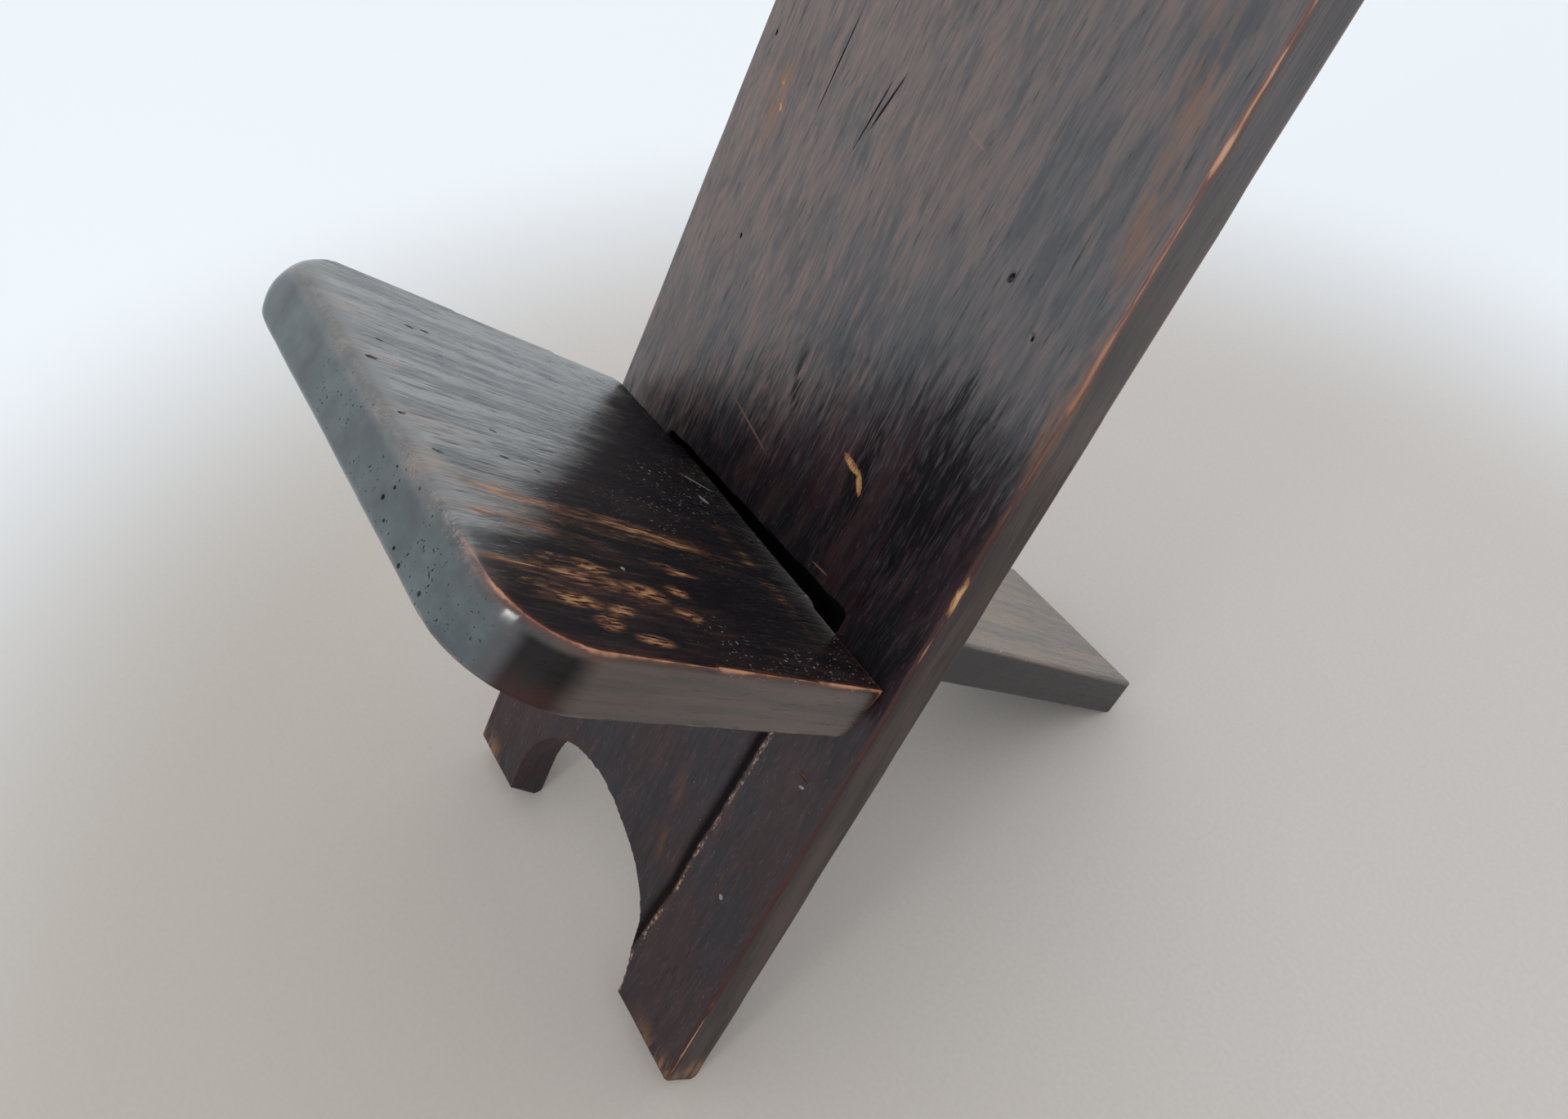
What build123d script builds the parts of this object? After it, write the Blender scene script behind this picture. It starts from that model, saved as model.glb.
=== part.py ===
from build123d import *
import math
import os

# A two-plank chair. The back plank leans backwards on two feet, and the seat plank slopes down to the
# rear through a mortise in it, with its tail on the floor behind. The chair faces -Y, and left and right
# are as seen from its front: right is +X. Millimetres and degrees.

# ---- back plank
back_length = 800.0          # up the front face, from the foot's front arris to the crown of the top
back_width_foot = 300.0
back_width_top = 275.0
back_thickness = 30.0
back_lean = 25.5             # from the vertical
back_crown = 6.0             # rise of the bowed top edge above its corners
back_top_corner = 38.0       # radius of the two top corners
back_arris = 2.2             # rounding of its worn arrises

# ---- feet and the arch between them
foot_front_height = 20.0     # height of the foot's front arris above the floor, where the bevel starts
foot_sole_depth = 9.0        # front to back, the worn flat that stands on the floor
foot_heel = 2.5              # rounding of the heel behind the sole
arch_left = 92.0             # from the plank's centre line
arch_right = 84.0
arch_height = 98.0           # crown above the foot's front arris
arch_crown_offset = -12.0    # the crown stands left of the centre line
arch_spring_left = 22.0      # where the curve starts on the left leg
arch_spring_right = -6.0
arch_arris = 1.6

# ---- seat plank
seat_reach = 221.0           # from the back plank's face to the front edge of the top face
seat_flare = 3.0             # by which the front edge runs out further at the underside
seat_width_front = 284.0
seat_width_rear = 275.0
seat_thickness = 33.7
seat_slope = 40.9            # from the horizontal
seat_height_on_back = 320.5  # up the back's front face, from the foot's front arris to the seat's top
right_corner_top = 37.0      # radius of the front right corner at the top face
right_corner_under = 50.0    # and at the underside, where it is cut away more
left_corner_top = 34.0       # the front left corner is as round at the top face
left_corner_middle = 17.0    # and bulges half-way down
left_corner_under = 27.0
seat_arris = 2.0             # width pared off its arrises

# ---- shoulders, which rest against the back plank's face
shoulder_clearance = 0.3
shoulder_slant = 6.3         # degrees by which the left shoulder falls away from the back plank
shoulder_corner = 7.0        # rounding of its outer corner
shoulder_heel = 11.0         # rounding under both shoulders

# ---- tongue and tail
tongue_width = 147.0
tongue_arris = 2.0
tail_sole_depth = 5.5        # front to back, the worn flat that stands on the floor
tail_end_lean = 26.0         # of the end cut, from the vertical
tail_corner = 5.0

# ---- mortise, cut parallel to the seat plank and loose round the tongue
mortise_clearance_under = 0.3
mortise_gap_left = 10.5      # beside the tongue
mortise_gap_right = 19.5
mortise_gap_over_left = 2.0  # above the tongue: the upper wall climbs to the right
mortise_gap_over_right = 11.0

# ---- hollow adzed into the back's face between the mortise and the arch
hollow_depth = 4.5
hollow_width = 72.0
hollow_deepest = 22.0        # from the ridge along its right side to its deepest line
ridge_slope = 24.0           # steepness of its side at the ridge, from the face

BEYOND = 60.0                # how far every cutting tool runs past what it cuts

lean = math.radians(back_lean)
slope = math.radians(seat_slope)

# In side view the heel is where the back plank's rear face meets the floor, and the join is where the
# seat's top face meets the back's front face.
heel_y = back_thickness / math.cos(lean) - foot_front_height * math.tan(lean)
join_y = seat_height_on_back * math.sin(lean)
join_z = foot_front_height + seat_height_on_back * math.cos(lean)

# The seat plank's underside meets the floor this far behind the join, along the plank.
tail_toe = (join_z - seat_thickness * math.cos(slope)) / math.sin(slope)

# Each plank is drawn flat: x across it, y along it, and its face at z = 0 with the wood below.
BACK = Plane(
    origin=(0, 0, foot_front_height),
    x_dir=(1, 0, 0),
    z_dir=(0, -math.cos(lean), math.sin(lean)),
)
SEAT = Plane(
    origin=(0, join_y, join_z),
    x_dir=(1, 0, 0),
    z_dir=(0, math.sin(slope), math.cos(slope)),
)


def side_cutter(points):
    """A prism right across the chair, from its outline in side view (y, z)."""
    outline = Polyline(*[(0, y, z) for y, z in points], close=True)
    reach = back_width_foot / 2 + BEYOND
    return extrude(make_face(outline), amount=reach, dir=(1, 0, 0), both=True)


def corner_waste(centre_y, centre_z, radius, rear_angle):
    """What rounding a lower rear corner takes off, in side view: a ring between its two faces' normals.

    One normal points down and the other points to the rear, at rear_angle from the horizontal.
    """
    inner = CenterArc((0, 0), radius, start_angle=-90, arc_size=90 + rear_angle)
    outer = CenterArc((0, 0), 3 * radius, start_angle=-90, arc_size=90 + rear_angle)
    ring = make_face(Curve() + [inner, outer, Line(inner @ 0, outer @ 0), Line(inner @ 1, outer @ 1)])
    return Plane(origin=(0, centre_y, centre_z), x_dir=(0, 1, 0), z_dir=(1, 0, 0)) * ring


def back_outline():
    """The backrest: slightly narrower at the top, where it ends in a low bow between round corners."""
    foot_half = back_width_foot / 2
    top_half = back_width_top / 2
    taper = (foot_half - top_half) / back_length
    low = -BEYOND
    low_half = foot_half - taper * low
    corner_y = back_length - back_crown
    sides = Polyline(
        (top_half, corner_y),
        (low_half, low),
        (-low_half, low),
        (-top_half, corner_y),
    )
    top = ThreePointArc((-top_half, corner_y), (0, back_length), (top_half, corner_y))
    face = make_face(Curve() + [sides, top])
    corners = face.vertices().filter_by(lambda v: v.Y > back_length / 2)
    return fillet(corners, back_top_corner)


def arch_outline():
    """A lopsided arch: its crown is off centre, so each side is a quarter of its own ellipse."""
    crown_x = arch_crown_offset
    left = EllipticalCenterArc(
        (crown_x, arch_spring_left),
        crown_x + arch_left,
        arch_height - arch_spring_left,
        start_angle=90,
        arc_size=90,
    )
    right = EllipticalCenterArc(
        (crown_x, arch_spring_right),
        arch_right - crown_x,
        arch_height - arch_spring_right,
        start_angle=0,
        arc_size=90,
    )
    legs = Polyline(
        (-arch_left, arch_spring_left),
        (-arch_left, -2 * BEYOND),
        (arch_right, -2 * BEYOND),
        (arch_right, arch_spring_right),
    )
    return make_face(Curve() + [left, legs, right])


def is_arch_edge(edge):
    point = edge.center()
    return -arch_left - 1 < point.X < arch_right + 1 and point.Y < arch_height + 1


def mortise_cutter():
    """The slanted slot: its walls follow the tongue, with room above it and beside it."""
    left = -tongue_width / 2 - mortise_gap_left
    right = tongue_width / 2 + mortise_gap_right
    floor = -seat_thickness - mortise_clearance_under
    through = back_thickness / math.cos(slope - lean) + BEYOND
    section = Polyline(
        (left, -BEYOND, floor),
        (right, -BEYOND, floor),
        (right, -BEYOND, mortise_gap_over_right),
        (left, -BEYOND, mortise_gap_over_left),
        close=True,
    )
    return SEAT * extrude(make_face(section), amount=through + BEYOND, dir=(0, 1, 0))


def hollow_cutter():
    """A scoop that fades out to the left and ends in a ridge on the right, from the mortise to the arch."""
    ridge_top_x = tongue_width / 2 + mortise_gap_right
    ridge_top_y = seat_height_on_back - seat_thickness / math.cos(slope - lean)
    run = math.hypot(ridge_top_y, ridge_top_x - arch_right)
    skew = math.degrees(math.atan2(ridge_top_x - arch_right, ridge_top_y))
    steep = math.radians(ridge_slope)
    floor = Spline(
        (-hollow_width, 0, 0),
        (-hollow_deepest, 0, -hollow_depth),
        (0, 0, 0),
        tangents=((1, 0, 0), (math.cos(steep), 0, math.sin(steep))),
    )
    lid = Polyline(
        (0, 0, 0),
        (BEYOND * math.cos(steep), 0, BEYOND * math.sin(steep)),
        (-hollow_width, 0, BEYOND),
        (-hollow_width, 0, 0),
    )
    scoop = extrude(make_face(Curve() + [floor, lid]), amount=run + BEYOND, dir=(0, 1, 0))
    scoop = Pos(0, -BEYOND, 0) * scoop
    return BACK * Pos(arch_right, 0, 0) * Rot(0, 0, -skew) * scoop


def foot_cutter():
    """Trims the feet: a steep bevel at the front, then the flat sole on the floor."""
    return side_cutter([
        (-BEYOND, foot_front_height),
        (0, foot_front_height),
        (heel_y - foot_sole_depth, 0),
        (heel_y + BEYOND, 0),
        (heel_y + BEYOND, -BEYOND),
        (-BEYOND, -BEYOND),
    ])


def back_plank():
    """Back, mortise, arch and feet in one plank."""
    plank = extrude(back_outline() - arch_outline(), amount=-back_thickness)
    arch_edges = plank.faces().filter_by(Axis.Z).edges().filter_by(is_arch_edge)
    plank = fillet(arch_edges, arch_arris)
    long_edges = plank.faces().filter_by(Axis.Z).edges()
    long_edges = long_edges.filter_by(lambda e: not is_arch_edge(e) and e.center().Y > 0)
    plank = fillet(long_edges, back_arris)
    plank = BACK * plank
    plank = plank - mortise_cutter() - hollow_cutter() - foot_cutter()
    heel_centre = heel_y - foot_heel * (1 - math.sin(lean)) / math.cos(lean)
    heels = corner_waste(heel_centre, foot_heel, foot_heel, -back_lean)
    return plank - extrude(heels, amount=back_width_foot, both=True)


def seat_outline(depth, inset=0.0):
    """Outline of the seat itself at one depth under its top face, inset all round but at the shoulders."""
    share = depth / seat_thickness
    right_corner = right_corner_top + (right_corner_under - right_corner_top) * share
    left_corner = (
        left_corner_top * (1 - share) * (1 - 2 * share)
        + left_corner_middle * 4 * share * (1 - share)
        + left_corner_under * share * (2 * share - 1)
    )
    front_half = seat_width_front / 2 - inset
    rear_half = seat_width_rear / 2 - inset
    front = inset - seat_reach - seat_flare * share
    slant = math.tan(math.radians(shoulder_slant)) * (rear_half - tongue_width / 2)
    points = [
        (-front_half, front),
        (front_half, front),
        (rear_half, -shoulder_clearance),
        (-tongue_width / 2, -shoulder_clearance),
        (-rear_half, -shoulder_clearance - slant),
    ]
    face = make_face(Polyline(*points, close=True))
    for y, end, corner in [
        (front, -1, right_corner),
        (front, 0, left_corner),
        (-shoulder_clearance - slant, 0, shoulder_corner),
    ]:
        across = face.vertices().filter_by(lambda v: abs(v.Y - y) < 0.01).sort_by(Axis.X)
        face = fillet(across[end], corner - inset)
    return Pos(0, 0, -depth) * face


def shoulder_heel_cutter():
    """Rounds the lower rear corner of the right shoulder."""
    centre_y = -shoulder_clearance - shoulder_heel
    waste = corner_waste(centre_y, shoulder_heel - seat_thickness, shoulder_heel, 0)
    return Pos(tongue_width / 2, 0, 0) * extrude(waste, amount=seat_width_rear / 2)


def tongue():
    """The tongue and tail, which run on inside the seat as far as half its depth."""
    end_slant = math.tan(slope - math.radians(tail_end_lean))
    sole_drop = tail_sole_depth * math.sin(slope)
    end_low = tail_toe + tail_sole_depth * math.cos(slope) + sole_drop * end_slant
    end_high = end_low - seat_thickness * end_slant
    side = Polyline(
        (0, -seat_reach / 2, 0),
        (0, end_high, 0),
        (0, end_low, -seat_thickness),
        (0, -seat_reach / 2, -seat_thickness),
        close=True,
    )
    plank = extrude(make_face(side), amount=tongue_width / 2, dir=(1, 0, 0), both=True)
    tail_end = plank.faces().sort_by(Axis.Y)[-1]
    plank = fillet(tail_end.edges().filter_by(Axis.X, reverse=True), tail_corner)
    edges = plank.faces().filter_by(Axis.Z).edges()
    return fillet(edges.filter_by(lambda e: e.center().Y > 0), tongue_arris)


def seat_plank():
    """Seat, shoulders and tongue in one plank; its tail is cut where it stands on the floor."""
    quarters = [seat_outline(seat_thickness * share) for share in (0.25, 0.5, 0.75)]
    seat = loft(
        [
            seat_outline(0, seat_arris),
            seat_outline(seat_arris),
            *quarters,
            seat_outline(seat_thickness - seat_arris),
            seat_outline(seat_thickness, seat_arris),
        ],
        ruled=True,
    )

    # The left shoulder is slanted, so its heel is rounded by the same tool, mirrored and turned with it.
    inner_end = Pos(-tongue_width / 2, -shoulder_clearance, 0)
    left_heel = mirror(shoulder_heel_cutter(), Plane.YZ)
    left_heel = inner_end * Rot(0, 0, shoulder_slant) * inner_end.inverse() * left_heel
    plank = seat + tongue() - shoulder_heel_cutter() - left_heel

    floor = side_cutter([(0, 0), (0, -BEYOND), (2 * tail_toe, -BEYOND), (2 * tail_toe, 0)])
    return SEAT * plank - floor


os.makedirs("parts", exist_ok=True)
planks = {"back_plank": back_plank(), "seat_plank": seat_plank()}

# The finished chair stands on z = 0 with the middle of its floor plan at the origin.
plan = planks["back_plank"].bounding_box().add(planks["seat_plank"].bounding_box())
centred = Pos(-plan.center().X, -plan.center().Y, 0)
for name, plank in planks.items():
    export_step(centred * plank, f"parts/{name}.step")
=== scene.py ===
import math

import bmesh
import bpy
import numpy as np
from mathutils import Matrix, Vector, noise


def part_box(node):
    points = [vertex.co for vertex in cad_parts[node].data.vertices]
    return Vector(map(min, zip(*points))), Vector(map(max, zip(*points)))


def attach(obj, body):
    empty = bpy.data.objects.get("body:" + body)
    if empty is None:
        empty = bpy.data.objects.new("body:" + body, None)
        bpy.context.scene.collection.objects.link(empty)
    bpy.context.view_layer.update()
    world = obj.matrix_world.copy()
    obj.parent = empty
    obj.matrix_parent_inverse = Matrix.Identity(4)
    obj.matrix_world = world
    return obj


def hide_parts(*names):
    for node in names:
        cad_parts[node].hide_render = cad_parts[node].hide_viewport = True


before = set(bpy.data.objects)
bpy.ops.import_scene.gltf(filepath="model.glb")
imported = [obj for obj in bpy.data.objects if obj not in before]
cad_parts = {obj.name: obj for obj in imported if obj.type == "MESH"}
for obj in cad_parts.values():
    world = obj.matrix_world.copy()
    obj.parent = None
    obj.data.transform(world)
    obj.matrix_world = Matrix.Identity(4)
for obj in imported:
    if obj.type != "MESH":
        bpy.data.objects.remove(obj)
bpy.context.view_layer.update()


# ---------------------------------------------------------------------------------- back plank
# The back plank is one board of dark stained hardwood, adzed and scraped by hand. Its lower end is
# cut into two feet by a lopsided arch, and the tongue of the seat plank passes through its mortise.
# It is modelled flat, with x across, y up its face and the face at z = 0, and then leaned back.
LEAN = math.radians(25.5)
SLOPE = math.radians(40.9)
BACK_LENGTH = 0.800
BACK_FOOT_WIDTH = 0.300
BACK_TOP_WIDTH = 0.275
BACK_THICKNESS = 0.030
BACK_CORNER = 0.038
BACK_CROWN = 0.006
BACK_CROWN_RISE = (0.600, 0.790)
ARRIS = 0.0022
FOOT_HEIGHT = 0.020
FOOT_SOLE = 0.009
BACK_TURN = math.pi / 2 - LEAN
# How far up its face the seat's top meets it, and what its foot and the cutters have to spare.
JOIN = 0.3205
SPARE = 0.060


def only(piece):
    bpy.ops.object.select_all(action="DESELECT")
    piece.select_set(True)
    bpy.context.view_layer.objects.active = piece


def new_piece(name, primitive, **settings):
    """Adds a primitive under a name and opens it in edit mode."""
    bpy.ops.object.select_all(action="DESELECT")
    primitive(**settings)
    piece = bpy.context.object
    piece.name = name
    bpy.ops.object.mode_set(mode="EDIT")
    return piece


def pick(piece, kind, test):
    """Selects the vertices, edges or faces of a piece in edit mode whose middle passes the test."""
    bpy.ops.mesh.select_mode(type={"verts": "VERT", "edges": "EDGE", "faces": "FACE"}[kind])
    bpy.ops.mesh.select_all(action="DESELECT")
    shape = bmesh.from_edit_mesh(piece.data)
    for element in getattr(shape, kind):
        if kind == "verts":
            middle = element.co
        elif kind == "edges":
            middle = (element.verts[0].co + element.verts[1].co) / 2
        else:
            middle = element.calc_center_median()
        element.select_set(test(middle))
    shape.select_flush_mode()
    bmesh.update_edit_mesh(piece.data)


def resize(across, along, deep=1):
    bpy.ops.transform.resize(value=(across, along, deep), center_override=(0, 0, 0))


def move(across, along, deep=0):
    bpy.ops.transform.translate(value=(across, along, deep))


def draw_out(depth):
    """Extrudes all that is there by a depth, as one closed solid with its faces outwards."""
    bpy.ops.mesh.select_all(action="SELECT")
    bpy.ops.mesh.extrude_region_move(TRANSFORM_OT_translate={"value": (0, 0, depth)})
    bpy.ops.mesh.select_all(action="SELECT")
    bpy.ops.mesh.normals_make_consistent(inside=False)


def finish_with(piece, kind, **settings):
    """Adds one modifier to a piece and applies it."""
    only(piece)
    modifier = piece.modifiers.new(kind, kind)
    for name, value in settings.items():
        setattr(modifier, name, value)
    bpy.ops.object.modifier_apply(modifier=modifier.name)


def carve(piece, cutter):
    finish_with(piece, "BOOLEAN", operation="DIFFERENCE", solver="EXACT", object=cutter)
    bpy.data.objects.remove(cutter)


def saw(piece, through, normal):
    """Cuts off what lies beyond a plane, on the side that the normal points to, and closes the cut."""
    only(piece)
    bpy.ops.object.mode_set(mode="EDIT")
    bpy.ops.mesh.select_all(action="SELECT")
    bpy.ops.mesh.bisect(
        plane_co=through,
        plane_no=normal,
        clear_outer=True,
        use_fill=True,
        threshold=0.000001,
    )
    bpy.ops.object.mode_set(mode="OBJECT")


def place(piece, turn, where):
    """Turns a flat plank about x, puts it in its place and writes both into its mesh."""
    only(piece)
    piece.rotation_euler = (turn, 0, 0)
    piece.location = where
    bpy.ops.object.transform_apply(location=True, rotation=True, scale=True)


def new_board():
    """The tapering board with its rounded top corners, its foot longer by what is sawn off."""
    board = new_piece("back_board", bpy.ops.mesh.primitive_plane_add, size=1)
    taper = (BACK_FOOT_WIDTH - BACK_TOP_WIDTH) / BACK_LENGTH
    low_width = BACK_FOOT_WIDTH + taper * SPARE
    top = BACK_LENGTH - BACK_CROWN
    resize(low_width, top + SPARE)
    move(0, (top - SPARE) / 2)
    pick(board, "verts", lambda at: at.y > 0)
    resize(BACK_TOP_WIDTH / low_width, 1)
    bpy.ops.mesh.bevel(offset=BACK_CORNER, segments=10, affect="VERTICES")
    draw_out(-BACK_THICKNESS)
    pick(board, "edges", lambda at: abs(at.z + BACK_THICKNESS / 2) > 0.01)
    bpy.ops.mesh.bevel(offset=ARRIS, segments=3, affect="EDGES")
    bpy.ops.object.mode_set(mode="OBJECT")
    return board


def arch_cutter():
    """A round disc whose two upper quarters are stretched apart and whose lower half makes the legs."""
    left, right, height, crown = 0.092, 0.083, 0.098, -0.012
    spring_left, spring_right = 0.022, -0.006
    cutter = new_piece(
        "arch_cutter",
        bpy.ops.mesh.primitive_circle_add,
        vertices=96,
        radius=1,
        fill_type="NGON",
    )
    pick(cutter, "verts", lambda at: at.y < -0.001)
    resize(1, 0)
    move(0, -3)
    pick(cutter, "verts", lambda at: at.x < 0.001)
    resize(left + crown, height - spring_left)
    move(crown, spring_left)
    pick(cutter, "verts", lambda at: at.x > 0.001)
    resize(right - crown, height - spring_right)
    move(crown, spring_right)
    bpy.ops.mesh.select_all(action="SELECT")
    move(0, 0, SPARE)
    draw_out(-3 * SPARE)
    bpy.ops.object.mode_set(mode="OBJECT")
    return cutter


def mortise_cutter():
    """The slot as the seat plank's own frame sees it, turned into the back plank's frame."""
    left, right, floor = -0.084, 0.093, -0.034
    over_left, over_right = 0.002, 0.011
    cutter = new_piece("mortise_cutter", bpy.ops.mesh.primitive_cube_add, size=1)
    resize(right - left, 3 * SPARE, -floor)
    move((left + right) / 2, 0, floor / 2)
    pick(cutter, "verts", lambda at: at.x < 0 and at.z > floor / 2)
    move(0, 0, over_left)
    pick(cutter, "verts", lambda at: at.x > 0 and at.z > floor / 2)
    move(0, 0, over_right)
    bpy.ops.object.mode_set(mode="OBJECT")
    place(cutter, -SLOPE - BACK_TURN, (0, JOIN, 0))
    return cutter


def places(piece):
    """The vertices of a piece, one row each."""
    at = np.empty(3 * len(piece.data.vertices))
    piece.data.vertices.foreach_get("co", at)
    return at.reshape(-1, 3)


def put_places(piece, at):
    piece.data.vertices.foreach_set("co", at.ravel())
    piece.data.update()


def smooth_step(value, low, high):
    share = np.clip((value - low) / (high - low), 0, 1)
    return share * share * (3 - 2 * share)


def crown_top(board):
    """Raises the middle of the top end above its corners."""
    at = places(board)
    across = at[:, 0] / (BACK_TOP_WIDTH / 2)
    at[:, 1] += BACK_CROWN * (1 - across ** 2) * smooth_step(at[:, 1], *BACK_CROWN_RISE)
    put_places(board, at)


def hand_hewn(piece, depth, along, across):
    """Wears shallow dips into a piece, longer along the grain than across it."""
    at = places(piece)
    normals = np.empty(3 * len(at))
    piece.data.vertices.foreach_get("normal", normals)
    stretch = np.array([1 / across, 1 / along, 1 / across])
    dips = np.array([noise.noise(Vector(point)) for point in at * stretch])
    put_places(piece, at - normals.reshape(-1, 3) * (0.5 + 0.5 * dips[:, None]) * depth)


# The adze left a shallow hollow between the mortise and the arch. It ends on the right in a ridge
# with a torn lip. RIDGE gives the ridge's x for some heights up the face.
RIDGE = [
    (0.000, 0.0835),
    (0.010, 0.0825),
    (0.037, 0.0785),
    (0.067, 0.0805),
    (0.102, 0.0845),
    (0.138, 0.0845),
    (0.168, 0.0865),
    (0.240, 0.0895),
    (0.290, 0.0925),
]
HOLLOW_DEPTH = 0.0047
HOLLOW_STEEP = 0.014
HOLLOW_WIDTH = 0.072
HOLLOW_FADE = (0.285, 0.320)
LIP_DEPTH = 0.0016
LIP_WIDTH = (0.001, 0.005)
LIP_START = (0.035, 0.055)


def hollow_out(board):
    """Cuts the hollow and its lip, and notes how far each vertex lies beside the ridge, in mm."""
    at = places(board)
    beside = np.interp(at[:, 1], *zip(*RIDGE)) - at[:, 0]
    deep = smooth_step(beside, 0, HOLLOW_STEEP) * (1 - smooth_step(beside, HOLLOW_STEEP, HOLLOW_WIDTH))
    on_face = 1 - smooth_step(at[:, 1], *HOLLOW_FADE)
    on_face *= smooth_step(at[:, 2], -0.020, -0.001)
    torn = np.array([noise.noise(Vector(point)) for point in at * (500, 300, 0)])
    lip = (1 - smooth_step(np.abs(beside), *LIP_WIDTH)) * smooth_step(torn, -0.1, 0.5)
    lip *= smooth_step(at[:, 1], *LIP_START)
    at[:, 2] -= (HOLLOW_DEPTH * deep + LIP_DEPTH * lip) * on_face
    put_places(board, at)
    board.data.attributes.new("beside ridge", "FLOAT", "POINT").data.foreach_set("value", beside * 1000)


def mark_arrises(piece, rounds):
    """Notes how far each vertex stands out from what is around it, in mm, so that arrises can wear."""
    pairs = np.empty(2 * len(piece.data.edges), dtype=int)
    piece.data.edges.foreach_get("vertices", pairs)
    one, other = pairs.reshape(-1, 2).T
    sharp = places(piece)
    count = len(sharp)
    neighbours = np.bincount(pairs, minlength=count)[:, None]
    soft = sharp.copy()
    for _ in range(rounds):
        sums = [
            np.bincount(one, soft[other, axis], count) + np.bincount(other, soft[one, axis], count)
            for axis in range(3)
        ]
        soft = (soft + np.stack(sums, axis=1) / neighbours) / 2
    normals = np.empty(3 * count)
    piece.data.vertices.foreach_get("normal", normals)
    stands_out = ((sharp - soft) * normals.reshape(-1, 3)).sum(axis=1) * 1000
    piece.data.attributes.new("arris", "FLOAT", "POINT").data.foreach_set("value", stands_out)


class Field:
    """One socket of a material's nodes: a value, place or colour that varies over the surface."""

    def __init__(self, tree, socket=None):
        self.tree = tree
        self.socket = socket

    def node(self, kind, sockets, out=0, **settings):
        """Adds any other node: its settings first, then the values or links of its sockets."""
        node = self.tree.nodes.new("ShaderNode" + kind)
        for name, value in settings.items():
            setattr(node, name, value)
        for name, value in sockets.items():
            if isinstance(value, Field):
                self.tree.links.new(value.socket, node.inputs[name])
            else:
                node.inputs[name].default_value = value
        return Field(self.tree, node.outputs[out] if node.outputs else None)

    def maths(self, operation, first, second):
        return self.node("Math", {0: first, 1: second}, operation=operation)

    def __add__(self, other):
        return self.maths("ADD", self, other)

    def __sub__(self, other):
        return self.maths("SUBTRACT", self, other)

    def __rsub__(self, other):
        return self.maths("SUBTRACT", other, self)

    def __mul__(self, other):
        return self.maths("MULTIPLY", self, other)

    def __pow__(self, other):
        return self.maths("POWER", self, other)

    __radd__ = __add__
    __rmul__ = __mul__

    def least(self, other):
        return self.maths("MINIMUM", self, other)

    def most(self, other):
        return self.maths("MAXIMUM", self, other)

    def ramp(self, start, end):
        """Rises softly from 0 to 1 between two values, or falls if the start is the higher."""
        return self.node(
            "MapRange",
            {"Value": self, "From Min": start, "From Max": end},
            interpolation_type="SMOOTHSTEP",
        )

    def shade(self, plain, marked):
        """Goes from one colour to another as this value goes from 0 to 1."""
        colours = [(*colour, 1) if isinstance(colour, tuple) else colour for colour in (plain, marked)]
        return self.node("Mix", {0: self, 6: colours[0], 7: colours[1]}, out=2, data_type="RGBA")

    def grain(self, width, length, seed, detail=2.0, roughness=0.5):
        """Noise about 0.5 whose blots are so many mm wide and, along the grain, so many mm long."""
        stretch = (1 / width, 1 / length, 1 / width)
        shift = (seed * 7.31, seed * 3.17, seed * 5.73)
        where = self.node("VectorMath", {0: self, 1: stretch, 2: shift}, operation="MULTIPLY_ADD")
        sockets = {"Vector": where, "Scale": 1, "Detail": detail, "Roughness": roughness}
        return where.node("TexNoise", sockets)


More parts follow.
